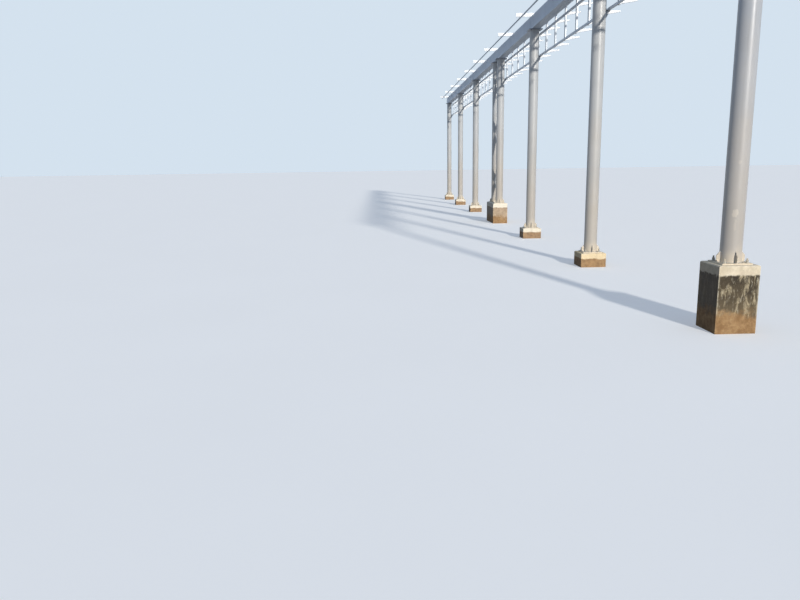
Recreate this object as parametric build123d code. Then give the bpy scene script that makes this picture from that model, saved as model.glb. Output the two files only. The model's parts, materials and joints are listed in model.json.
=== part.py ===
from build123d import *
import os

# Industrial pipe bridge: a single row of tubular columns on concrete plinths carries a box beam,
# crossarms on top of the beam, and a cable rack that hangs along the beam's right side.
# Frame: Y runs along the bridge, X is across it with the cable rack on +X, Z is up from the ground.
# The origin lies on the ground under the middle of the two-legged anchor support. Millimetres.

# Bays
BAY = 6000.0
SUPPORTS = ["a", "b", "c", "d", "e", "f", "g"]
ANCHOR_SUPPORT = "d"
END_OVERHANG = 300.0

# Levels above the ground
BEAM_UNDERSIDE_Z = 6030.0
UPPER_CHORD_Z = 5925.0
LOWER_CHORD_Z = 5325.0

# Plinths
PLINTH_WIDTH = 540.0
PLINTH_HEIGHT = 300.0
FIRST_PLINTH_HEIGHT = 900.0
ANCHOR_PLINTH_HEIGHT = 750.0
PLINTH_CHAMFER = 12.0

# Columns and the anchor support's two legs
COLUMN_DIAMETER = 273.0
LEG_SPACING = 1000.0
LACING_BAR_SIZE = 80.0
LACING_STEP = 925.0
LACING_END_GAP = 240.0
CURVE_CLEARANCE = 0.3

# Column feet
FOOT_PLATE_SIZE = 400.0
FOOT_PLATE_THICKNESS = 20.0
FOOT_RIB_HEIGHT = 150.0
FOOT_RIB_TIP_HEIGHT = 85.0
FOOT_RIB_THICKNESS = 12.0
FOOT_RIB_INSET = 8.0
ANCHOR_HOLE_DIAMETER = 33.0
ANCHOR_HOLE_INSET = 50.0

# Column caps
CAP_PLATE_SIZE = 400.0
CAP_PLATE_THICKNESS = 20.0

# Main beam
BEAM_WIDTH = 250.0
BEAM_DEPTH = 350.0

# Crossarms and the ties under them
CROSSARM_STEP = 3000.0
CROSSARM_LENGTH = 1100.0
CROSSARM_DEPTH = 100.0
CROSSARM_FLANGE = 46.0
CROSSARM_WALL = 5.0
TIE_LEG = 50.0
TIE_WALL = 5.0
TIE_INSET = 120.0

# Cable rack
RACK_CLEARANCE = 15.0
CHORD_DEPTH = 55.0
CHORD_FLANGE = 30.0
RACK_WALL = 5.0
POST_WIDTH = 40.0
POST_DEPTH = 80.0
POST_STEP = 1000.0
POST_TOP_INSET = 80.0
CLEAT_WIDTH = 60.0
CLEAT_HEIGHT = 120.0
SHELF_LENGTH = 350.0
SHELF_ROOT_DEPTH = 85.0
SHELF_TIP_DEPTH = 30.0
SHELF_RISE = 75.0
SHELF_WIDTH = 40.0
SHELF_WALL = 4.0

# Brackets that carry the rack on the columns
BRACKET_THICKNESS = 10.0
BRACKET_DEPTH = 150.0
BRACKET_SEAT_WIDTH = 120.0
BRACKET_SEAT_THICKNESS = 10.0

# Places that follow from the sizes above
COLUMN_RADIUS = COLUMN_DIAMETER / 2
POST_X = CAP_PLATE_SIZE / 2 + RACK_CLEARANCE
CHORD_X = POST_X - CHORD_FLANGE
SHELF_X = POST_X + POST_WIDTH
BEAM_TOP_Z = BEAM_UNDERSIDE_Z + BEAM_DEPTH
COLUMN_TOP_Z = BEAM_UNDERSIDE_Z - CAP_PLATE_THICKNESS
FIRST_SUPPORT_Y = -SUPPORTS.index(ANCHOR_SUPPORT) * BAY
SUPPORT_Y = {name: FIRST_SUPPORT_Y + i * BAY for i, name in enumerate(SUPPORTS)}
BAY_COUNT = len(SUPPORTS) - 1
HIGH_PLINTHS = {SUPPORTS[0]: FIRST_PLINTH_HEIGHT, ANCHOR_SUPPORT: ANCHOR_PLINTH_HEIGHT}


def leg_places(name):
    """Y of each column of a support: one column, or the anchor support's two."""
    middle = SUPPORT_Y[name]
    if name == ANCHOR_SUPPORT:
        return [middle - LEG_SPACING / 2, middle + LEG_SPACING / 2]
    return [middle]


def plinth_top(name):
    return HIGH_PLINTHS.get(name, PLINTH_HEIGHT)


def channel(depth, flange, wall):
    """C section: the web's outer face on the Y axis, flanges towards +X, centred on Y."""
    outer = Pos(flange / 2, 0) * Rectangle(flange, depth)
    inner = Pos((flange + wall) / 2, 0) * Rectangle(flange - wall, depth - 2 * wall)
    return outer - inner


def along_y(section, start, end):
    """Section drawn as X and Z, run from start to end along Y."""
    return extrude(Plane.XZ.offset(-start) * section, amount=start - end)


def along_x(section, start, end):
    """Section drawn as Y and Z, run from start to end along X."""
    return extrude(Plane.YZ.offset(start) * section, amount=end - start)


def upright(x, y, bottom, top, diameter):
    return Pos(x, y, bottom) * extrude(Circle(diameter / 2), amount=top - bottom)


def plinth(name):
    places = leg_places(name)
    length = PLINTH_WIDTH + places[-1] - places[0]
    height = plinth_top(name)
    block = Pos(0, (places[0] + places[-1]) / 2, height / 2) * Box(PLINTH_WIDTH, length, height)
    return chamfer(block.faces().sort_by(Axis.Z)[-1].edges(), PLINTH_CHAMFER)


def foot(name, y):
    """Base plate with four tapered ribs that meet the column's round wall."""
    base = plinth_top(name)
    half = FOOT_PLATE_SIZE / 2
    hole_pitch = FOOT_PLATE_SIZE - 2 * ANCHOR_HOLE_INSET
    plate = Rectangle(FOOT_PLATE_SIZE, FOOT_PLATE_SIZE)
    plate -= GridLocations(hole_pitch, hole_pitch, 2, 2) * Circle(ANCHOR_HOLE_DIAMETER / 2)
    body = extrude(plate, amount=FOOT_PLATE_THICKNESS)
    outline = Polyline(
        (0, 0),
        (half - FOOT_RIB_INSET, 0),
        (half - FOOT_RIB_INSET, FOOT_RIB_TIP_HEIGHT),
        (COLUMN_RADIUS, FOOT_RIB_HEIGHT),
        (0, FOOT_RIB_HEIGHT),
        close=True,
    )
    rib = extrude(Plane.XZ * make_face(outline), amount=FOOT_RIB_THICKNESS / 2, both=True)
    for angle in (0, 90, 180, 270):
        body += Pos(0, 0, FOOT_PLATE_THICKNESS) * Rot(0, 0, angle) * rib
    socket_radius = COLUMN_RADIUS + CURVE_CLEARANCE
    body -= Pos(0, 0, FOOT_PLATE_THICKNESS) * extrude(Circle(socket_radius), amount=FOOT_RIB_HEIGHT)
    return Pos(0, y, base) * body


def column(name, y):
    return upright(0, y, plinth_top(name) + FOOT_PLATE_THICKNESS, COLUMN_TOP_Z, COLUMN_DIAMETER)


def cap(y):
    plate = extrude(Rectangle(CAP_PLATE_SIZE, CAP_PLATE_SIZE), amount=CAP_PLATE_THICKNESS)
    return Pos(0, y, COLUMN_TOP_Z) * plate


def bay_span(index):
    """Start and end of one bay's beam and rack, with the overhang at the bridge's two ends."""
    start = FIRST_SUPPORT_Y + index * BAY
    end = start + BAY
    if index == 0:
        start -= END_OVERHANG
    if index == BAY_COUNT - 1:
        end += END_OVERHANG
    return start, end


def beam(index):
    start, end = bay_span(index)
    section = Pos(0, BEAM_UNDERSIDE_Z + BEAM_DEPTH / 2) * Rectangle(BEAM_WIDTH, BEAM_DEPTH)
    return along_y(section, start, end)


def crossarm(y):
    section = Pos(y - CROSSARM_FLANGE / 2, BEAM_TOP_Z + CROSSARM_DEPTH / 2)
    section *= channel(CROSSARM_DEPTH, CROSSARM_FLANGE, CROSSARM_WALL)
    return along_x(section, -CROSSARM_LENGTH / 2, CROSSARM_LENGTH / 2)


def crossarm_places():
    count = int(BAY_COUNT * BAY / CROSSARM_STEP) + 1
    return [FIRST_SUPPORT_Y + i * CROSSARM_STEP for i in range(count)]


def tie(side):
    """Angle under the crossarm tips: one leg flat against the arms, one leg hanging down."""
    x = side * (CROSSARM_LENGTH / 2 - TIE_INSET)
    corner = Pos(x, BEAM_TOP_Z)
    section = corner * Pos(-side * TIE_LEG / 2, -TIE_WALL / 2) * Rectangle(TIE_LEG, TIE_WALL)
    section += corner * Pos(-side * TIE_WALL / 2, -TIE_LEG / 2) * Rectangle(TIE_WALL, TIE_LEG)
    return along_y(section, bay_span(0)[0], bay_span(BAY_COUNT - 1)[1])


def post_places(index):
    start = FIRST_SUPPORT_Y + index * BAY
    count = int(BAY / POST_STEP)
    return [start + POST_STEP / 2 + i * POST_STEP for i in range(count)]


def rack_panel(index):
    """Ladder of two channel chords with tube posts outside them, hung from the beam's side by cleats."""
    start, end = bay_span(index)
    chord = channel(CHORD_DEPTH, CHORD_FLANGE, RACK_WALL)
    panel = along_y(Pos(CHORD_X, LOWER_CHORD_Z) * chord, start, end)
    panel += along_y(Pos(CHORD_X, UPPER_CHORD_Z) * chord, start, end)
    bottom = LOWER_CHORD_Z - CHORD_DEPTH / 2
    top = BEAM_TOP_Z - POST_TOP_INSET
    post = Pos(POST_X + POST_WIDTH / 2, 0, (bottom + top) / 2) * Box(POST_WIDTH, POST_DEPTH, top - bottom)
    cleat = channel(CLEAT_HEIGHT, CLEAT_WIDTH, RACK_WALL)
    cleat = Pos(-CLEAT_WIDTH / 2, BEAM_UNDERSIDE_Z + BEAM_DEPTH / 2) * cleat
    for y in post_places(index):
        panel += Pos(0, y, 0) * post
        panel += along_x(Pos(y, 0) * cleat, BEAM_WIDTH / 2, POST_X)
    return panel


def shelf(y, z):
    """Cantilever shelf: a pressed channel that tapers to its tip, its top just above the chord at z."""
    top = z + SHELF_RISE
    outline = Polyline(
        (0, top - SHELF_ROOT_DEPTH),
        (SHELF_LENGTH, top - SHELF_TIP_DEPTH),
        (SHELF_LENGTH, top),
        (0, top),
        close=True,
    )
    face = make_face(outline)
    solid = extrude(Plane.XZ * face, amount=SHELF_WIDTH / 2, both=True)
    hollow = extrude(Plane.XZ * offset(face, -SHELF_WALL, kind=Kind.INTERSECTION), amount=-SHELF_WIDTH)
    return Pos(SHELF_X, y, 0) * (solid - Pos(0, -SHELF_WIDTH / 2 + SHELF_WALL, 0) * hollow)


def rack_shelves(index):
    levels = (LOWER_CHORD_Z, UPPER_CHORD_Z)
    return Compound(children=[shelf(y, z) for y in post_places(index) for z in levels])


def rack_bracket(y):
    """Knee bracket on a column's side with a flat seat under the lower chord."""
    seat_z = LOWER_CHORD_Z - CHORD_DEPTH / 2
    knee_z = seat_z - BRACKET_SEAT_THICKNESS
    seat = Pos(POST_X / 2, 0, seat_z - BRACKET_SEAT_THICKNESS / 2)
    seat *= Box(POST_X, BRACKET_SEAT_WIDTH, BRACKET_SEAT_THICKNESS)
    outline = Polyline(
        (0, knee_z),
        (POST_X, knee_z),
        (COLUMN_RADIUS, knee_z - BRACKET_DEPTH),
        (0, knee_z - BRACKET_DEPTH),
        close=True,
    )
    bracket = seat + extrude(Plane.XZ * make_face(outline), amount=BRACKET_THICKNESS / 2, both=True)
    wall = upright(0, 0, knee_z - BRACKET_DEPTH, seat_z, COLUMN_DIAMETER + 2 * CURVE_CLEARANCE)
    return Pos(0, y, 0) * (bracket - wall)


def lacing_heights():
    """Heights where the lacing bars meet the legs: even steps about mid-height, and one at each end."""
    bottom = plinth_top(ANCHOR_SUPPORT) + FOOT_PLATE_THICKNESS + LACING_END_GAP
    top = COLUMN_TOP_Z - LACING_END_GAP
    middle = (bottom + top) / 2
    steps = int((top - bottom) / 2 / LACING_STEP)
    return [bottom] + [middle + i * LACING_STEP for i in range(-steps, steps + 1)] + [top]


def anchor_lacing():
    """Single zigzag of square tubes between the anchor support's two legs, mitred to their round walls."""
    near, far = leg_places(ANCHOR_SUPPORT)
    walls = (near + COLUMN_RADIUS, far - COLUMN_RADIUS)
    points = [(walls[i % 2], z) for i, z in enumerate(lacing_heights())]
    zigzag = None
    for (y0, z0), (y1, z1) in zip(points, points[1:]):
        run = Edge.make_line((0, y0, z0), (0, y1, z1))
        start = Plane(origin=run @ 0, x_dir=(1, 0, 0), z_dir=run % 0).offset(-LACING_BAR_SIZE)
        section = start * Rectangle(LACING_BAR_SIZE, LACING_BAR_SIZE)
        bar = extrude(section, amount=run.length + 2 * LACING_BAR_SIZE)
        zigzag = bar if zigzag is None else zigzag + bar
    for y in (near, far):
        zigzag -= upright(0, y, 0, COLUMN_TOP_Z, COLUMN_DIAMETER + 2 * CURVE_CLEARANCE)
    return zigzag


all_columns = [(name, y) for name in SUPPORTS for y in leg_places(name)]

nodes = {}
for name in SUPPORTS:
    nodes[f"plinth_{name}"] = plinth(name)
    nodes[f"feet_{name}"] = Compound(children=[foot(name, y) for y in leg_places(name)])
    if name == ANCHOR_SUPPORT:
        for side, y in zip(("near", "far"), leg_places(name)):
            nodes[f"column_{name}_{side}"] = column(name, y)
    else:
        nodes[f"column_{name}"] = column(name, SUPPORT_Y[name])
nodes["column_caps"] = Compound(children=[cap(y) for _, y in all_columns])
nodes["anchor_lacing"] = anchor_lacing()
for index in range(BAY_COUNT):
    nodes[f"beam_{index + 1}"] = beam(index)
    nodes[f"rack_panel_{index + 1}"] = rack_panel(index)
    nodes[f"rack_shelves_{index + 1}"] = rack_shelves(index)
nodes["rack_brackets"] = Compound(children=[rack_bracket(y) for _, y in all_columns])
nodes["crossarms"] = Compound(children=[crossarm(y) for y in crossarm_places()])
nodes["crossarm_ties"] = Compound(children=[tie(side) for side in (-1, 1)])

os.makedirs("parts", exist_ok=True)
for node, shape in nodes.items():
    export_step(shape, f"parts/{node}.step")
    print(node, round(shape.volume / 1e9, 4), "m3")
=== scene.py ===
"""Looks of the pipe bridge: paint, concrete, bolts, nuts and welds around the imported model."""
import json
import math
import random

import bpy
import bmesh
from mathutils import Matrix, Vector


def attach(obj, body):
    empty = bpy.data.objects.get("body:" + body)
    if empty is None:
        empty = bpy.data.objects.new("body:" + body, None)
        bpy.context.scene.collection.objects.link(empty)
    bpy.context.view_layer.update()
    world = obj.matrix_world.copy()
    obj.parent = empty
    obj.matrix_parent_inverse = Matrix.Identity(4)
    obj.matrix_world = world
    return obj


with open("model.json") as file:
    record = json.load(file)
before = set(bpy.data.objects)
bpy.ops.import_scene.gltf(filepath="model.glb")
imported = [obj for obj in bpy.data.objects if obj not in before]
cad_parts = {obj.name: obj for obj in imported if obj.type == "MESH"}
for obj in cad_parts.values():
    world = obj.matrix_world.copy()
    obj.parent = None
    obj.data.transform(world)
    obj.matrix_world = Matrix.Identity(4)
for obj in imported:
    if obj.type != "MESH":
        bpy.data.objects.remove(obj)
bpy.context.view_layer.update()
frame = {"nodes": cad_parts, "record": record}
nodes = frame["nodes"]
scene = bpy.context.scene
random.seed(7)

# ---------------------------------------------------------------- places and sizes, in metres
SUPPORTS = {"a": -18.0, "b": -12.0, "c": -6.0, "d": 0.0, "e": 6.0, "f": 12.0, "g": 18.0}
LEG_OFFSET = 0.5
LEGS = [(n, y) for n, y in SUPPORTS.items() if n != "d"] + [("d", -LEG_OFFSET), ("d", LEG_OFFSET)]
PLINTH_TOP = {n: 0.30 for n in SUPPORTS}
PLINTH_TOP.update(a=0.90, d=0.75)
PLINTH_HALF = 0.27
PLATE_THICKNESS = 0.02
BOLT_PLACE = 0.15
RIB_HEIGHT, RIB_REACH, RIB_HALF = 0.15, 0.192, 0.007
COLUMN_RADIUS = 0.1365
COLUMN_TOP = 6.01
CAP_HALF = 0.19
BEAM_HALF_WIDTH = 0.125
BEAM_LOW, BEAM_HIGH = 6.03, 6.38
BRIDGE_END = 18.3
ARM_COUNT, ARM_STEP, ARM_FLANGE = 13, 3.0, 0.046
TIE_X, TIE_FLANGE = 0.43, 0.046
LACING_HEIGHTS = [1.01] + [3.39 + i * 0.925 for i in range(-2, 3)] + [5.77]
LACING_HALF, LACING_END_HIGH, LACING_KNEE_HIGH = 0.042, 0.058, 0.066
CHORD_HEIGHTS, CHORD_HALF = (5.325, 5.925), 0.0275
POST_X, POST_HALF = 0.215, 0.037
POST_PLACES = [-17.5 + i for i in range(36)]
SHELF_X, SHELF_RISE, SHELF_HALF, SHELF_DEPTH = 0.255, 0.075, 0.020, 0.083
CLEAT_HALF_WIDTH, CLEAT_HALF_HEIGHT = 0.030, 0.060
BRACKET_RADIUS, BRACKET_DEPTH, BRACKET_HALF, BRACKET_PLATE = 0.138, 0.156, 0.058, 0.010
GUSSET_HALF = 0.006
BRACKET_BOLT_Y, BRACKET_BOLT_SIZE = 0.035, 0.0095

# ---------------------------------------------------------------- camera, floor and light
EYE = (-4.635, -26.844, 2.233)
PITCH, YAW, ROLL = (math.radians(a) for a in (11.13, 1.695, 0.85))
FOCAL_PIXELS, PICTURE_PIXELS, SENSOR_WIDTH = 685.0, 800.0, 36.0
CAMERA_REACH = 500.0
FLOOR_HALF = 260.0
FLOOR_TONES = (0.80, 0.80, 0.79, 1.0), (0.84, 0.84, 0.83, 1.0)
FLOOR_BOUNCE = (0.36, 0.31, 0.26, 1.0)
FLOOR_GLOW, FLOOR_GLOW_STRENGTH = (0.95, 0.97, 1.0, 1.0), 0.25
SUN_DIRECTION = (-0.245, 0.916, -0.317)
SUN_COLOUR, SUN_STRENGTH, SUN_WIDTH = (1.0, 0.96, 0.89), 3.45, 3.0
SKY_LIGHT = ((0.0, (0.60, 0.75, 0.97, 1.0)), (0.23, (0.50, 0.66, 0.90, 1.0)), (0.40, (0.14, 0.20, 0.30, 1.0)))
BACKDROP = (0.66, 0.76, 0.86, 1.0)


def camera():
    forward = Vector((math.sin(YAW) * math.cos(PITCH), math.cos(YAW) * math.cos(PITCH), -math.sin(PITCH)))
    level = Vector((math.cos(YAW), -math.sin(YAW), 0.0))
    down = forward.cross(level)
    right = math.cos(ROLL) * level + math.sin(ROLL) * down
    up = math.sin(ROLL) * level - math.cos(ROLL) * down
    data = bpy.data.cameras.new("photo_camera")
    data.sensor_width = SENSOR_WIDTH
    data.lens = FOCAL_PIXELS / PICTURE_PIXELS * SENSOR_WIDTH
    data.clip_end = CAMERA_REACH
    obj = bpy.data.objects.new("photo_camera", data)
    axes = Matrix((right, up, -forward)).transposed()
    obj.matrix_world = Matrix.Translation(EYE) @ axes.to_4x4()
    scene.collection.objects.link(obj)
    scene.camera = obj


class Nodes:
    """A short way to write a material's nodes."""

    def __init__(self, name):
        self.material = bpy.data.materials.new(name)
        self.material.use_nodes = True
        self.tree = self.material.node_tree
        self.shader = self.tree.nodes["Principled BSDF"]
        self.place = self.add("ShaderNodeTexCoord").outputs["Object"]

    def add(self, kind, **settings):
        node = self.tree.nodes.new(kind)
        for key, value in settings.items():
            setattr(node, key, value)
        return node

    def link(self, a, b):
        self.tree.links.new(a, b)

    def put(self, socket, value):
        if isinstance(value, bpy.types.NodeSocket):
            self.link(value, socket)
        else:
            socket.default_value = value

    def scaled(self, x, y, z, source=None):
        node = self.add("ShaderNodeMapping")
        self.link(source or self.place, node.inputs["Vector"])
        node.inputs["Scale"].default_value = (x, y, z)
        return node.outputs["Vector"]

    def noise(self, scale, detail=4.0, rough=0.55, vector=None, distortion=0.0):
        node = self.add("ShaderNodeTexNoise")
        self.link(vector or self.place, node.inputs["Vector"])
        node.inputs["Scale"].default_value = scale
        node.inputs["Detail"].default_value = detail
        node.inputs["Roughness"].default_value = rough
        node.inputs["Distortion"].default_value = distortion
        return node.outputs["Fac"]

    def drawn(self, across, up, detail, rough, distortion=0.0):
        """Noise at one scale across and another one up: upright streaks where up is the smaller."""
        return self.noise(1.0, detail, rough, self.scaled(across, across, up), distortion)

    def cells(self, scale):
        node = self.add("ShaderNodeTexVoronoi")
        self.link(self.place, node.inputs["Vector"])
        node.inputs["Scale"].default_value = scale
        return node.outputs["Distance"]

    def ramp(self, value, low, high, out_low=0.0, out_high=1.0):
        node = self.add("ShaderNodeMapRange", interpolation_type="SMOOTHSTEP")
        self.put(node.inputs["Value"], value)
        node.inputs["From Min"].default_value = low
        node.inputs["From Max"].default_value = high
        node.inputs["To Min"].default_value = out_low
        node.inputs["To Max"].default_value = out_high
        return node.outputs["Result"]

    def wander(self, scale, detail, rough, low, reach):
        """A soft drift between -reach and reach, from noise spread between low and 1 - low."""
        return self.ramp(self.noise(scale, detail, rough), low, 1.0 - low, -reach, reach)

    def math(self, operation, a, b=0.0, clamp=False):
        node = self.add("ShaderNodeMath", operation=operation, use_clamp=clamp)
        self.put(node.inputs[0], a)
        self.put(node.inputs[1], b)
        return node.outputs[0]

    def plus(self, a, b):
        return self.math("ADD", a, b)

    def times(self, a, b):
        return self.math("MULTIPLY", a, b)

    def most(self, a, b):
        return self.math("MAXIMUM", a, b)

    def off(self, value, middle):
        """How far value lies from middle."""
        return self.math("ABSOLUTE", self.math("SUBTRACT", value, middle))

    def mix(self, factor, a, b):
        node = self.add("ShaderNodeMix", data_type="RGBA")
        self.put(node.inputs[0], factor)
        self.put(node.inputs[6], a)
        self.put(node.inputs[7], b)
        return node.outputs[2]

    def axis(self, name, source=None):
        node = self.add("ShaderNodeSeparateXYZ")
        self.link(source or self.place, node.inputs[0])
        return node.outputs[name]

    def normal_axis(self, name):
        return self.axis(name, self.add("ShaderNodeNewGeometry").outputs["Normal"])

    def turned_away(self, share=1.0):
        """share on faces that look along -X, away from the sun, and 0 on the others: where the plinths'
        painted shade goes.
        """
        return self.ramp(self.normal_axis("X"), -0.6, -0.9, 0.0, share)

    def blot(self, centre, size):
        """1 inside a ragged blot about a place, 0 outside it; size is its half extent along each axis."""
        away = self.add("ShaderNodeVectorMath", operation="SUBTRACT")
        self.link(self.place, away.inputs[0])
        away.inputs[1].default_value = centre
        far = self.add("ShaderNodeVectorMath", operation="LENGTH")
        self.link(self.scaled(*(1 / s for s in size), away.outputs["Vector"]), far.inputs[0])
        ragged = self.wander(24.0, 6.0, 0.7, 0.25, 0.55)
        return self.ramp(self.plus(far.outputs["Value"], ragged), 1.05, 0.85)

    def bump(self, height, distance, strength=1.0, before=None):
        node = self.add("ShaderNodeBump")
        self.put(node.inputs["Height"], height)
        node.inputs["Distance"].default_value = distance
        node.inputs["Strength"].default_value = strength
        if before is not None:
            self.link(before, node.inputs["Normal"])
        return node.outputs["Normal"]

    def finish(self, colour, roughness, normal):
        self.put(self.shader.inputs["Base Color"], colour)
        self.put(self.shader.inputs["Roughness"], roughness)
        self.link(normal, self.shader.inputs["Normal"])
        return self.material


def seen(tree):
    """1 for what the eye, a reflection or glass shows, 0 for the light that falls on the bridge."""
    path = tree.nodes.new("ShaderNodeLightPath")
    total = path.outputs["Is Camera Ray"]
    for other in ("Is Glossy Ray", "Is Transmission Ray"):
        add = tree.nodes.new("ShaderNodeMath")
        add.operation = "MAXIMUM"
        tree.links.new(total, add.inputs[0])
        tree.links.new(path.outputs[other], add.inputs[1])
        total = add.outputs[0]
    return total


def floor():
    """A pale floor that glows a little to the eye and sends warm, darker light up at the bridge."""
    bm = bmesh.new()
    bmesh.ops.create_grid(bm, x_segments=2, y_segments=2, size=FLOOR_HALF)
    mesh = bpy.data.meshes.new("floor")
    bm.to_mesh(mesh)
    bm.free()
    obj = bpy.data.objects.new("floor", mesh)
    scene.collection.objects.link(obj)
    n = Nodes("pale_floor")
    n.shader.inputs["Specular IOR Level"].default_value = 0.0
    pale = n.mix(n.noise(0.4, 3.0), *FLOOR_TONES)
    glow = seen(n.tree)
    tone = n.mix(glow, FLOOR_BOUNCE, pale)
    n.shader.inputs["Emission Color"].default_value = FLOOR_GLOW
    n.link(n.times(glow, FLOOR_GLOW_STRENGTH), n.shader.inputs["Emission Strength"])
    mesh.materials.append(n.finish(tone, 0.9, n.bump(n.noise(20.0, 2.0), 0.0002)))


def light():
    """One low sun from behind the camera, and a soft sky behind a plain backdrop."""
    sun = bpy.data.lights.new("key", "SUN")
    sun.energy = SUN_STRENGTH
    sun.angle = math.radians(SUN_WIDTH)
    sun.color = SUN_COLOUR
    lamp = bpy.data.objects.new("key", sun)
    lamp.rotation_euler = Vector(SUN_DIRECTION).to_track_quat("-Z", "Y").to_euler()
    scene.collection.objects.link(lamp)

    world = bpy.data.worlds.new("studio")
    scene.world = world
    world.use_nodes = True
    tree = world.node_tree
    back = tree.nodes["Background"]
    coord = tree.nodes.new("ShaderNodeTexCoord")
    split = tree.nodes.new("ShaderNodeSeparateXYZ")
    band = tree.nodes.new("ShaderNodeValToRGB")
    tree.links.new(coord.outputs["Generated"], split.inputs[0])
    tree.links.new(split.outputs["Z"], band.inputs[0])
    stops = band.color_ramp.elements
    for i, (height, colour) in enumerate(SKY_LIGHT):
        stop = stops[i] if i < len(stops) else stops.new(height)
        stop.position = height
        stop.color = colour
    both = tree.nodes.new("ShaderNodeMix")
    both.data_type = "RGBA"
    tree.links.new(seen(tree), both.inputs[0])
    tree.links.new(band.outputs[0], both.inputs[6])
    both.inputs[7].default_value = BACKDROP
    tree.links.new(both.outputs[2], back.inputs["Color"])
    back.inputs["Strength"].default_value = 1.0
    scene.view_settings.view_transform = "Standard"


# ---------------------------------------------------------------- colours
def srgb(r, g, b):
    def one(c):
        c /= 255.0
        return c / 12.92 if c <= 0.04045 else ((c + 0.055) / 1.055) ** 2.4
    return one(r), one(g), one(b), 1.0


# dirt and wear on the paint, and warm dust that also carries painted bounce light
RUNS = srgb(112, 106, 97)
SCUFFS = srgb(206, 203, 197)
SPECKS = srgb(84, 70, 58)
DUST = srgb(176, 166, 148)
WHITE_SPLASH = srgb(216, 213, 206)
BLOWN_DUST_AND_BOUNCE = srgb(180, 165, 144)
CEMENT = srgb(214, 199, 174)

# concrete, darker and lighter
CREAM = srgb(206, 192, 167), srgb(234, 221, 197)
PALE_TINT = srgb(252, 244, 226)
WARM_TINT = srgb(244, 218, 170)
TAN_RUNS = srgb(176, 157, 129)
LIME = srgb(240, 232, 214)
# painted shade: laid on the plinths' side turned away from the sun
PAINTED_SHADE_DARK = srgb(32, 22, 18)
SAND = srgb(112, 98, 80)
PINHOLES = srgb(86, 74, 60)
WET_SOIL = srgb(126, 92, 58), srgb(166, 128, 86)
DRY_SOIL = srgb(140, 106, 70), srgb(178, 144, 102)

# the black coat of the high plinths
COAT = srgb(40, 33, 23), srgb(77, 65, 46)
COAT_FADED = srgb(138, 121, 92)
COAT_SMEARS = srgb(190, 175, 143)
COAT_WORN = srgb(206, 197, 174)
COAT_GONE = srgb(202, 176, 148)

# zinc of the bolts
ZINC = srgb(150, 148, 142), srgb(186, 182, 172)
ZINC_SPLASH = srgb(212, 200, 178)
RUST = srgb(134, 88, 54)


# ---------------------------------------------------------------- materials
def paint(name, light, dark, dirt, foot=None, splash=0.0, dull=0.0, blots=(), pale=None, bands=()):
    """Light grey paint on steel: soft patches, faint runs, dust on level faces, scuffs and fine grain.
    foot is the height of a plinth's top: cement covers the base plate, its film reaches up by splash,
    and dust, which also paints warm bounce light from the soil, fades upwards from there. blots are white
    marks: centre, half extent and strength of each.
    pale is the colour of faces that look along the bridge, and of the chords at the heights in bands."""
    n = Nodes(name)
    colour = n.mix(n.ramp(n.noise(0.9, 5.0, 0.6), 0.30, 0.72), dark, light)
    # painted highlight and painted shade: faces that look along the bridge, the sunlit side of the posts, are
    # painted pale, and the post faces across the bridge keep the darker grey; the chord bands are pale too
    if pale is not None:
        place = n.ramp(n.math("ABSOLUTE", n.normal_axis("Y")), 0.7, 0.9)
        for height in bands:
            band = n.ramp(n.off(n.axis("Z"), height), CHORD_HALF + 0.004, CHORD_HALF + 0.001)
            place = n.most(place, band)
        colour = n.mix(place, colour, pale)
    colour = n.mix(n.ramp(n.drawn(26.0, 0.9, 5.0, 0.65), 0.52, 0.82, 0.0, dirt), colour, RUNS)
    colour = n.mix(n.ramp(n.drawn(7.0, 16.0, 7.0, 0.72, 0.6), 0.66, 0.72, 0.0, 0.5), colour, SCUFFS)
    specks = n.ramp(n.cells(55.0), 0.02, 0.09, 0.4, 0.0)
    some = n.ramp(n.noise(3.1, 3.0), 0.55, 0.66)
    colour = n.mix(n.times(specks, some), colour, SPECKS)
    level = n.ramp(n.normal_axis("Z"), 0.55, 0.95)
    dust = n.times(level, n.ramp(n.noise(9.0, 6.0, 0.65), 0.30, 0.70, 0.15, 0.6))
    colour = n.mix(dust, colour, DUST)
    for centre, size, strength in blots:
        colour = n.mix(n.times(n.blot(centre, size), strength), colour, WHITE_SPLASH)
    if foot is not None:
        # warm dust fading up from the plinth, also painted warm bounce light from the soil
        drift = n.plus(n.axis("Z"), n.wander(1.3, 5.0, 0.6, 0.2, 0.7))
        colour = n.mix(n.ramp(drift, foot + 3.9, foot + 0.2, 0.0, 0.55), colour, BLOWN_DUST_AND_BOUNCE)
        rise = n.plus(n.axis("Z"), n.wander(16.0, 6.0, 0.7, 0.2, 0.03))
        cement = n.ramp(rise, foot + 0.040, foot + 0.014, 0.0, 0.88)
        ragged = n.plus(rise, n.wander(3.5, 5.0, 0.6, 0.2, 0.08))
        cement = n.most(cement, n.ramp(ragged, foot + splash, foot + 0.02, 0.0, 0.55))
        colour = n.mix(cement, colour, CEMENT)
        dust = n.most(dust, cement)
    gloss = n.ramp(n.noise(14.0, 6.0, 0.6), 0.25, 0.75, 0.28 + dull, 0.42 + dull)
    gloss = n.math("ADD", gloss, n.times(dust, 0.32), clamp=True)
    fine = n.bump(n.noise(420.0, 3.0, 0.6), 0.0004, 0.35)
    return n.finish(colour, gloss, n.bump(n.noise(24.0, 3.0, 0.5), 0.0012, 0.3, fine))


def concrete_grain(n):
    """The coarse and the fine grain of a plinth."""
    return n.noise(9.0, 8.0, 0.65), n.noise(120.0, 4.0, 0.7)


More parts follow.
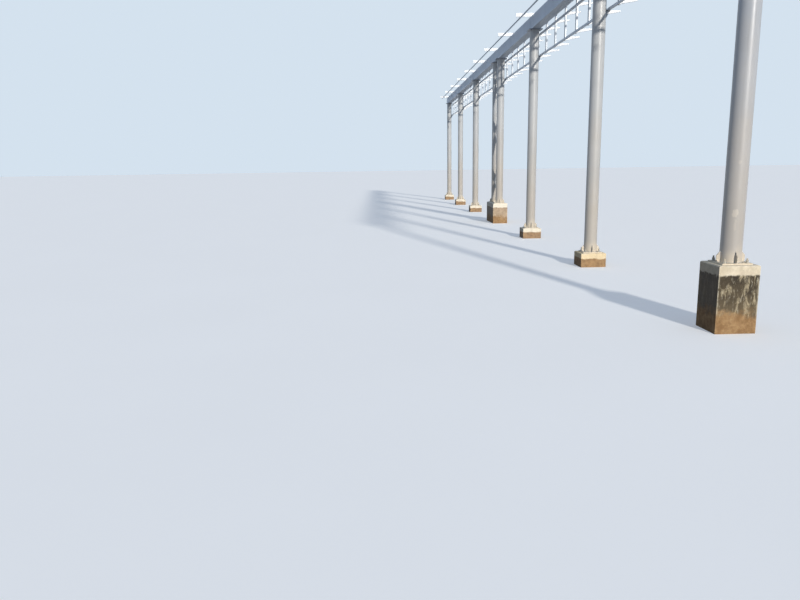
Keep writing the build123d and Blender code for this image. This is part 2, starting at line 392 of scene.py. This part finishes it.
def concrete_ground(n, grain, tint, share):
    """Bare cast concrete shared by every plinth: cream, patchy, with faint tan runs and lime."""
    colour = n.mix(n.ramp(grain, 0.3, 0.7), *CREAM)
    colour = n.mix(share, colour, tint)
    colour = n.mix(n.ramp(n.drawn(13.0, 1.2, 5.0, 0.6), 0.48, 0.80, 0.0, 0.4), colour, TAN_RUNS)
    return n.mix(n.ramp(n.noise(4.0, 6.0, 0.7), 0.56, 0.68, 0.0, 0.6), colour, LIME)


def soil_colour(n, tones):
    return n.mix(n.ramp(n.noise(12.0, 7.0, 0.7), 0.35, 0.68), *tones)


def concrete_finish(n, colour, rough, grain, fine):
    """Painted shade darkening the side turned away from the sun, sand grain, pinholes and board marks on a
    plinth.
    """
    # painted shade: the side turned away from the sun is darkened
    colour = n.mix(n.turned_away(0.42), colour, PAINTED_SHADE_DARK)
    colour = n.mix(n.ramp(fine, 0.35, 0.75, 0.0, 0.2), colour, SAND)
    pits = n.cells(46.0)
    colour = n.mix(n.ramp(pits, 0.04, 0.12, 0.55, 0.0), colour, PINHOLES)
    boards = n.math("FRACT", n.times(n.axis("Z"), 10.0))
    seam = n.ramp(n.off(boards, 0.5), 0.47, 0.495, 0.0, 0.6)
    n.shader.inputs["Specular IOR Level"].default_value = 0.25
    normal = n.bump(n.ramp(pits, 0.05, 0.13), 0.003, 0.6)
    normal = n.bump(fine, 0.0016, 0.8, normal)
    normal = n.bump(seam, 0.0025, 0.5, normal)
    normal = n.bump(grain, 0.006, 0.6, normal)
    return n.finish(colour, rough, normal)


def concrete(name, line, tint, share):
    """A low plinth: cream above, soaked and stained by tan soil below an uneven line."""
    n = Nodes(name)
    grain, fine = concrete_grain(n)
    colour = concrete_ground(n, grain, tint, share)
    height = n.plus(n.axis("Z"), n.wander(5.0, 6.0, 0.7, 0.25, 0.022))
    low = n.ramp(height, line + 0.016, line - 0.016)
    colour = n.mix(n.times(low, 0.88), colour, soil_colour(n, WET_SOIL))
    return concrete_finish(n, colour, n.ramp(grain, 0.2, 0.8, 0.82, 0.97), grain, fine)


def coated_concrete(name, edge, middle, half_length, thin, share):
    """A high plinth: a worn black coat below an uneven line at edge, streaked and rubbed through, and soil
    on its foot. The side that turns away from the sun is painted darker and its coat is kept less worn,
    as painted shade. middle and half_length say where the plinth's corners are along the bridge, thin
    says how far the coat has gone, and share how pale the concrete is."""
    bottom = 0.34
    n = Nodes(name)
    z = n.axis("Z")
    # painted shade: 1 on the sunward faces and 0.25 on the side turned away, where fading, smears and wear
    # are held back so that side stays dark
    outside_painted_shade = n.math("SUBTRACT", 1.0, n.times(n.turned_away(), 0.75))
    grain, fine = concrete_grain(n)
    bare = concrete_ground(n, grain, PALE_TINT, share)

    coat = n.mix(n.ramp(n.noise(6.0, 8.0, 0.7), 0.3, 0.72), *COAT)
    faded = n.ramp(n.plus(z, n.wander(5.0, 6.0, 0.7, 0.2, 0.14)), edge - 0.10, bottom, 0.0, 0.30)
    coat = n.mix(n.times(faded, outside_painted_shade), coat, COAT_FADED)
    smear = n.ramp(n.drawn(14.0, 4.2, 6.0, 0.62, 0.5), 0.51, 0.65, 0.0, 0.75)
    smear = n.times(smear, n.ramp(n.noise(26.0, 7.0, 0.75), 0.34, 0.58, 0.25, 1.0))
    coat = n.mix(n.times(smear, outside_painted_shade), coat, COAT_SMEARS)

    streaks = n.ramp(n.drawn(26.0, 7.5, 8.0, 0.78, 0.3), 0.54, 0.70)
    marks = n.ramp(n.drawn(19.0, 26.0, 7.0, 0.8, 0.4), 0.62, 0.72)
    x_edge = n.ramp(n.math("ABSOLUTE", n.axis("X")), PLINTH_HALF - 0.024, PLINTH_HALF - 0.002)
    y_edge = n.ramp(n.off(n.axis("Y"), middle), half_length - 0.024, half_length - 0.002)
    rubbed = n.times(n.times(x_edge, y_edge), n.ramp(n.noise(14.0, 6.0, 0.7), 0.34, 0.6))
    worn = n.most(n.most(streaks, marks), rubbed)
    coat = n.mix(n.times(n.times(worn, 0.78), outside_painted_shade), coat, COAT_WORN)
    gone = n.times(n.ramp(n.noise(7.0, 7.0, 0.72), 0.32, 0.68, 0.72 * thin, 1.15 * thin), outside_painted_shade)
    coat = n.mix(gone, coat, COAT_GONE)

    drips = n.ramp(n.drawn(21.0, 2.5, 6.0, 0.7), 0.56, 0.76, 0.0, 0.05)
    height = n.plus(n.plus(z, n.wander(7.0, 7.0, 0.70, 0.25, 0.016)), drips)
    line = n.ramp(height, edge + 0.010, edge - 0.016)
    colour = n.mix(line, bare, coat)
    soil = n.ramp(n.plus(z, n.wander(2.6, 7.0, 0.72, 0.25, 0.11)), bottom, bottom - 0.16, 0.0, 0.92)
    colour = n.mix(soil, colour, soil_colour(n, DRY_SOIL))
    dull = n.most(soil, n.math("SUBTRACT", 1.0, line))
    rough = n.plus(n.times(dull, 0.26), n.ramp(grain, 0.2, 0.8, 0.60, 0.70))
    return concrete_finish(n, colour, rough, grain, fine)


def bolt_steel():
    """Zinc-coated bolts, dull, splashed with cement, with a little rust in patches."""
    n = Nodes("bolt_zinc")
    colour = n.mix(n.ramp(n.noise(30.0, 5.0, 0.6), 0.3, 0.7), *ZINC)
    colour = n.mix(n.ramp(n.noise(22.0, 6.0, 0.7), 0.44, 0.60, 0.0, 0.85), colour, ZINC_SPLASH)
    colour = n.mix(n.ramp(n.noise(48.0, 6.0, 0.7), 0.62, 0.72, 0.0, 0.8), colour, RUST)
    rough = n.ramp(n.noise(60.0, 4.0), 0.3, 0.7, 0.45, 0.80)
    n.shader.inputs["Metallic"].default_value = 0.25
    return n.finish(colour, rough, n.bump(n.noise(300.0, 4.0), 0.0005, 0.6))


camera()
floor()
light()

RACK_TONES = srgb(180, 186, 194), srgb(168, 175, 184)
PAINTS = {
    "column_paint": paint("column_grey", srgb(178, 178, 178), srgb(168, 168, 168), 0.20),
    # light blue-grey beam paint, made lighter and bluer partly as painted haze and sky light
    "beam_paint": paint("beam_grey", srgb(190, 204, 221), srgb(178, 192, 209), 0.18, dull=0.10),
    "rack_paint": paint("rack_grey", *RACK_TONES, 0.14, dull=0.08),
}
# painted highlight and painted shade on the rack posts: pale faces along the bridge, darker faces across it
PANEL_PAINT = paint("panel_grey", *RACK_TONES, 0.14, dull=0.08, pale=srgb(208, 215, 223), bands=CHORD_HEIGHTS)
PALE_PAINT = paint("pale_grey", srgb(222, 225, 228), srgb(212, 215, 219), 0.10, dull=0.08)
# painted shade: the ties are painted darker than the beam for the shade in their angle
TIE_PAINTED_SHADE = paint("tie_grey_painted_shade", srgb(128, 139, 153), srgb(116, 127, 141), 0.14, dull=0.10)
# painted shade: the cap plates are painted darker for the shade under the beam around them
CAP_PAINTED_SHADE = paint("cap_grey_painted_shade", srgb(152, 162, 176), srgb(140, 150, 164), 0.18, dull=0.10)

COLUMN_SPLASH, FOOT_SPLASH = 0.32, 0.24
WHITE_MARKS = (((-0.050, -18.127, 1.56), (0.045, 0.045, 0.050), 0.75),
               ((-0.040, -18.130, 1.40), (0.020, 0.020, 0.070), 0.35),
               ((-0.035, -18.131, 2.21), (0.020, 0.020, 0.025), 0.35))
# painted haze: columns b to g are painted a little lighter than column a, for the haze over their greater
# distance
COLUMNS = {n: paint("column_grey_" + n, srgb(184, 185, 185), srgb(173, 174, 174), 0.20,
                    PLINTH_TOP[n], COLUMN_SPLASH) for n in "bcdefg"}
COLUMNS["a"] = paint("column_grey_a", srgb(176, 179, 184), srgb(166, 169, 174), 0.22,
                     PLINTH_TOP["a"], COLUMN_SPLASH, blots=WHITE_MARKS)
FEET = {n: paint("foot_grey_" + n, srgb(196, 192, 184), srgb(182, 178, 170), 0.25, PLINTH_TOP[n], FOOT_SPLASH)
        for n in SUPPORTS}

PLINTHS = {n: concrete("plinth_bare_" + n, 0.195, PALE_TINT, 0.5) for n in "cefg"}
PLINTHS["b"] = concrete("plinth_bare_b", 0.185, WARM_TINT, 0.6)
PLINTHS["a"] = coated_concrete("plinth_coated_a", 0.775, SUPPORTS["a"], PLINTH_HALF, thin=0.0, share=0.0)
PLINTHS["d"] = coated_concrete("plinth_coated_d", 0.60, SUPPORTS["d"], PLINTH_HALF + LEG_OFFSET, thin=0.75,
                               share=0.6)
BOLT = bolt_steel()

FINISHES = {"crossarms": PALE_PAINT, "crossarm_ties": TIE_PAINTED_SHADE, "column_caps": CAP_PAINTED_SHADE}
slots = {part["node"]: part["material_slot"] for part in frame["record"]["subparts"]}
for name, obj in nodes.items():
    if name in FINISHES:
        finish = FINISHES[name]
    elif name.startswith("plinth"):
        finish = PLINTHS[name[-1]]
    elif name.startswith("feet"):
        finish = FEET[name[-1]]
    elif name.startswith("column_"):
        finish = COLUMNS[name.split("_")[1]]
    elif name.startswith("rack_panel"):
        finish = PANEL_PAINT
    elif name.startswith("rack_shelves"):
        finish = PALE_PAINT
    else:
        finish = PAINTS[slots[name]]
    for place in obj.material_slots:
        place.material = finish


# ---------------------------------------------------------------- how bolts and welds are shaped
def piece(name, bm, material, smooth=True):
    mesh = bpy.data.meshes.new(name)
    bmesh.ops.recalc_face_normals(bm, faces=bm.faces)
    bm.to_mesh(mesh)
    bm.free()
    mesh.materials.append(material)
    for face in mesh.polygons:
        face.use_smooth = smooth
    obj = bpy.data.objects.new(name, mesh)
    scene.collection.objects.link(obj)
    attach(obj, "root")


def skin(bm, rings, closed=False):
    """Faces between rings of vertices, with an end face on the first and the last ring unless closed."""
    pairs = list(zip(rings, rings[1:])) + ([(rings[-1], rings[0])] if closed else [])
    for low, high in pairs:
        for i in range(len(low)):
            j = (i + 1) % len(low)
            bm.faces.new((low[i], low[j], high[j], high[i]))
    if not closed:
        bm.faces.new(rings[0][::-1])
        bm.faces.new(rings[-1])


def turned(bm, centre, profile, sides, turn=0.0):
    """A solid of revolution about a vertical line: profile is (radius, height) from the bottom up."""
    x, y, z = centre
    angles = [turn + 2 * math.pi * i / sides for i in range(sides)]
    skin(bm, [[bm.verts.new((x + radius * math.cos(a), y + radius * math.sin(a), z + height)) for a in angles]
              for radius, height in profile])


WASHER = ((0.0270, 0.0), (0.0280, 0.0006), (0.0280, 0.0040), (0.0270, 0.0046))
NUT_RADIUS, NUT_END_RADIUS, NUT_BEVEL, NUT_GAP = 0.0208, 0.0188, 0.0018, 0.0002
NUT_HEIGHTS = (0.0190, 0.0120)
THREAD_CREST, THREAD_ROOT, THREAD_TIP, THREAD_PITCH = 0.0120, 0.0105, 0.0100, 0.0030
BOLT_TOP, BOLT_TOP_SPREAD, TIP_HEIGHT = 0.056, 0.014, 0.002
HEAD_WASHER = 0.0012


def anchor_bolt(bm, x, y, z):
    """Plate washer, two nuts and the threaded end that stands above them."""
    turned(bm, (x, y, z), WASHER, 28)
    height = WASHER[-1][1]
    for thick in NUT_HEIGHTS:
        nut = ((NUT_END_RADIUS, 0.0), (NUT_RADIUS, NUT_BEVEL), (NUT_RADIUS, thick - NUT_BEVEL),
               (NUT_END_RADIUS, thick))
        turned(bm, (x, y, z + height), nut, 6, random.uniform(0, 1))
        height += thick + NUT_GAP
    thread = [(THREAD_CREST, 0.0)]
    top = BOLT_TOP + random.uniform(0, BOLT_TOP_SPREAD)
    while thread[-1][1] < top:
        h = thread[-1][1]
        thread += [(THREAD_ROOT, h + THREAD_PITCH * 0.5), (THREAD_CREST, h + THREAD_PITCH)]
    thread.append((THREAD_TIP, thread[-1][1] + TIP_HEIGHT))
    turned(bm, (x, y, z), thread, 16)


def hex_head(bm, centre, axis, size, thick):
    """A small bolt head with its washer, seen along axis."""
    part = bmesh.new()
    turned(part, (0, 0, 0), ((size * 1.25, 0.0), (size * 1.25, HEAD_WASHER)), 16)
    head = ((size, 0.0), (size, thick - HEAD_WASHER), (size * 0.88, thick))
    turned(part, (0, 0, HEAD_WASHER), head, 6, random.uniform(0, 1))
    turn = Vector((0, 0, 1)).rotation_difference(Vector(axis)).to_matrix().to_4x4()
    bmesh.ops.transform(part, matrix=Matrix.Translation(centre) @ turn, verts=part.verts)
    mesh = bpy.data.meshes.new("head")
    part.to_mesh(mesh)
    part.free()
    bm.from_mesh(mesh)
    bpy.data.meshes.remove(mesh)


BEAD_SIDES = 6
RIPPLE_RISE, RIPPLE_WOBBLE = 0.16, 0.10


def bead(bm, path, size, seed, closed=False):
    """A weld bead of radius size along the points of path, with the ripples that a weld has."""
    wobble = random.Random(seed)
    angles = [2 * math.pi * k / BEAD_SIDES for k in range(BEAD_SIDES)]
    points = [Vector(p) for p in path]
    rings = []
    for i, p in enumerate(points):
        before = points[i - 1] if (i or closed) else p
        after = points[(i + 1) % len(points)] if (i + 1 < len(points) or closed) else p
        along = (after - before).normalized()
        side = along.cross(Vector((0.0, 0.0, 1.0)))
        if side.length < 0.2:
            side = along.cross(Vector((1.0, 0.0, 0.0)))
        side.normalize()
        other = along.cross(side)
        r = size * (1.0 + RIPPLE_RISE * (i % 2) + wobble.uniform(-RIPPLE_WOBBLE, RIPPLE_WOBBLE))
        rings.append([bm.verts.new(p + side * (r * math.cos(a)) + other * (r * math.sin(a))) for a in angles])
    skin(bm, rings, closed)


SHORT_RIPPLE, RIPPLE, SEAM_RIPPLE = 0.007, 0.009, 0.03


def run(a, b, step):
    """Points along a straight line, about step apart."""
    a, b = Vector(a), Vector(b)
    count = max(2, int((b - a).length / step))
    return [a.lerp(b, i / count) for i in range(count + 1)]


def circle(y, z, radius, step=0.008):
    """Points around a column's middle line, an even number of them, about step apart."""
    count = int(2 * math.pi * radius / step) // 2 * 2
    angles = [2 * math.pi * i / count for i in range(count)]
    return [(radius * math.cos(a), y + radius * math.sin(a), z) for a in angles]


def straight(bm, a, b, size, seed, step=RIPPLE):
    bead(bm, run(a, b, step), size, seed)


# ---------------------------------------------------------------- bolts and welds, group by group
WELD_RADIUS = COLUMN_RADIUS + 0.002


def anchor_bolts():
    for name in SUPPORTS:
        bm = bmesh.new()
        z = PLINTH_TOP[name] + PLATE_THICKNESS
        for leg, y in LEGS:
            if leg != name:
                continue
            for sx in (-1, 1):
                for sy in (-1, 1):
                    anchor_bolt(bm, sx * BOLT_PLACE, y + sy * BOLT_PLACE, z)
        piece("anchor_bolts_" + name, bm, BOLT, smooth=False)


def column_welds():
    """Welds around the columns' feet and heads, and on both sides of every rib."""
    ring, rib = 0.005, 0.0038
    bm = bmesh.new()
    for i, (leg, y) in enumerate(LEGS):
        base = PLINTH_TOP[leg] + PLATE_THICKNESS
        bead(bm, circle(y, base, WELD_RADIUS), ring, i, closed=True)
        bead(bm, circle(y, COLUMN_TOP, WELD_RADIUS), ring, 50 + i, closed=True)
        for turn in range(4):
            spin = Matrix.Translation((0, y, base)) @ Matrix.Rotation(turn * math.pi / 2, 4, "Z")
            for side in (-RIB_HALF, RIB_HALF):
                wall = math.sqrt(COLUMN_RADIUS ** 2 - side ** 2) + 0.001
                up = run((wall, side, 0.004), (wall, side, RIB_HEIGHT - 0.004), SHORT_RIPPLE)
                out = run((wall, side, 0.001), (RIB_REACH - 0.003, side, 0.001), SHORT_RIPPLE)
                bead(bm, [spin @ p for p in up], rib, 100 + i * 8 + turn)
                bead(bm, [spin @ p for p in out], rib, 200 + i * 8 + turn)
    piece("column_welds", bm, PAINTS["column_paint"])


def beam_welds():
    """Bay splices, the seam underneath, cap plates, the beam's ends, crossarms and ties."""
    splice, plate, cap, tie = 0.0045, 0.004, 0.0055, 0.003
    sides = (-BEAM_HALF_WIDTH, BEAM_HALF_WIDTH)
    bm = bmesh.new()
    for name in "bcdef":
        y = SUPPORTS[name]
        for x in sides:
            straight(bm, (x, y, BEAM_LOW + 0.003), (x, y, BEAM_HIGH - 0.003), splice, ord(name), SHORT_RIPPLE)
        straight(bm, (sides[0], y, BEAM_LOW), (sides[1], y, BEAM_LOW), plate, ord(name) + 9, SHORT_RIPPLE)
    straight(bm, (0, -BRIDGE_END + 0.01, BEAM_LOW), (0, BRIDGE_END - 0.01, BEAM_LOW), splice, 5, SEAM_RIPPLE)
    for i, (_, y) in enumerate(LEGS):
        for x in (sides[0] - 0.002, sides[1] + 0.002):
            straight(bm, (x, y - CAP_HALF, BEAM_LOW), (x, y + CAP_HALF, BEAM_LOW), cap, 300 + i)
    for end in (-1, 1):
        y = end * (BRIDGE_END - 0.006)
        for x in sides:
            straight(bm, (x, y, BEAM_LOW), (x, y, BEAM_HIGH), plate, 31, SHORT_RIPPLE)
    for i in range(ARM_COUNT):
        y = SUPPORTS["a"] + i * ARM_STEP
        for side in (-1, 1):
            edge = y + side * (ARM_FLANGE / 2 + 0.001)
            a, b = (sides[0] + 0.008, edge, BEAM_HIGH), (sides[1] - 0.008, edge, BEAM_HIGH)
            straight(bm, a, b, splice, 400 + i)
            if abs(edge) > BRIDGE_END:
                continue
            for x in (-TIE_X, TIE_X):
                low_x, high_x = sorted((x, x - math.copysign(TIE_FLANGE, x)))
                inside = edge - side * 0.003
                a, b = (low_x + 0.003, inside, BEAM_HIGH), (high_x - 0.003, inside, BEAM_HIGH)
                straight(bm, a, b, tie, 500 + i, SHORT_RIPPLE)
    piece("beam_welds", bm, PAINTS["beam_paint"])


def lacing_welds():
    """Welds around the lacing's ends and knees, where it is mitred to the two legs."""
    bm = bmesh.new()
    corners = ((-LACING_HALF, -1), (LACING_HALF, -1), (LACING_HALF, 1), (-LACING_HALF, 1))
    last = len(LACING_HEIGHTS) - 1
    for i, z in enumerate(LACING_HEIGHTS):
        leg_y, side = ((-LEG_OFFSET, 1), (LEG_OFFSET, -1))[i % 2]
        half_high = LACING_KNEE_HIGH if 0 < i < last else LACING_END_HIGH
        loop = []
        for (x0, z0), (x1, z1) in zip(corners, corners[1:] + corners[:1]):
            steps = 12 if x0 != x1 else 18
            for k in range(steps):
                x = x0 + (x1 - x0) * k / steps
                h = (z0 + (z1 - z0) * k / steps) * half_high
                loop.append((x, leg_y + side * math.sqrt(WELD_RADIUS ** 2 - x * x), z + h))
        bead(bm, loop, 0.004, 600 + i, closed=True)
    piece("lacing_welds", bm, PAINTS["column_paint"])


def rack_welds():
    """Welds of the rack's chords, shelves, cleats and brackets, and the bolts of the brackets."""
    chord, shelf, cleat, gusset, plate = 0.0032, 0.003, 0.004, 0.0035, 0.004
    shelf_top, cleat_across, cleat_up = 0.018, 0.029, 0.058
    bm = bmesh.new()
    heads = bmesh.new()
    middle = (BEAM_LOW + BEAM_HIGH) / 2
    root = SHELF_X + 0.001
    for i, y in enumerate(POST_PLACES):
        for z in CHORD_HEIGHTS:
            for level in (z - CHORD_HALF, z + CHORD_HALF):
                straight(bm, (POST_X, y - POST_HALF, level), (POST_X, y + POST_HALF, level), chord, 700 + i)
            top = z + SHELF_RISE
            for side in (-SHELF_HALF, SHELF_HALF):
                a, b = (root, y + side, top - SHELF_DEPTH), (root, y + side, top - 0.002)
                straight(bm, a, b, shelf, 740 + i)
            straight(bm, (root, y - shelf_top, top), (root, y + shelf_top, top), shelf, 780 + i)
        for x in (BEAM_HALF_WIDTH + 0.001, POST_X - 0.001):
            near = y - CLEAT_HALF_WIDTH
            straight(bm, (x, near, middle - cleat_up), (x, near, middle + cleat_up), cleat, 800 + i)
            for z in (middle - CLEAT_HALF_HEIGHT, middle + CLEAT_HALF_HEIGHT):
                straight(bm, (x, y - cleat_across, z), (x, y + cleat_across, z), cleat, 850 + i)
    seat = CHORD_HEIGHTS[0] - CHORD_HALF
    across = [-BRACKET_HALF + k * 0.0083 for k in range(15)]
    for i, (_, y) in enumerate(LEGS):
        for side in (-GUSSET_HALF, GUSSET_HALF):
            straight(bm, (BRACKET_RADIUS, y + side, seat - 0.012),
                     (BRACKET_RADIUS, y + side, seat - BRACKET_DEPTH), gusset, 900 + i, SHORT_RIPPLE)
        for z in (seat, seat - BRACKET_PLATE):
            arc = [(math.sqrt(BRACKET_RADIUS ** 2 - t * t), y + t, z) for t in across]
            bead(bm, arc, plate, 930 + i)
        for side in (-BRACKET_BOLT_Y, BRACKET_BOLT_Y):
            hex_head(heads, (0.200, y + side, seat - BRACKET_PLATE), (0, 0, -1), BRACKET_BOLT_SIZE, 0.009)
            hex_head(heads, (0.202, y + side, seat + 0.005), (0, 0, 1), BRACKET_BOLT_SIZE, 0.012)
    piece("rack_welds", bm, PAINTS["rack_paint"])
    piece("rack_bolts", heads, BOLT, smooth=False)


anchor_bolts()
column_welds()
beam_welds()
lacing_welds()
rack_welds()
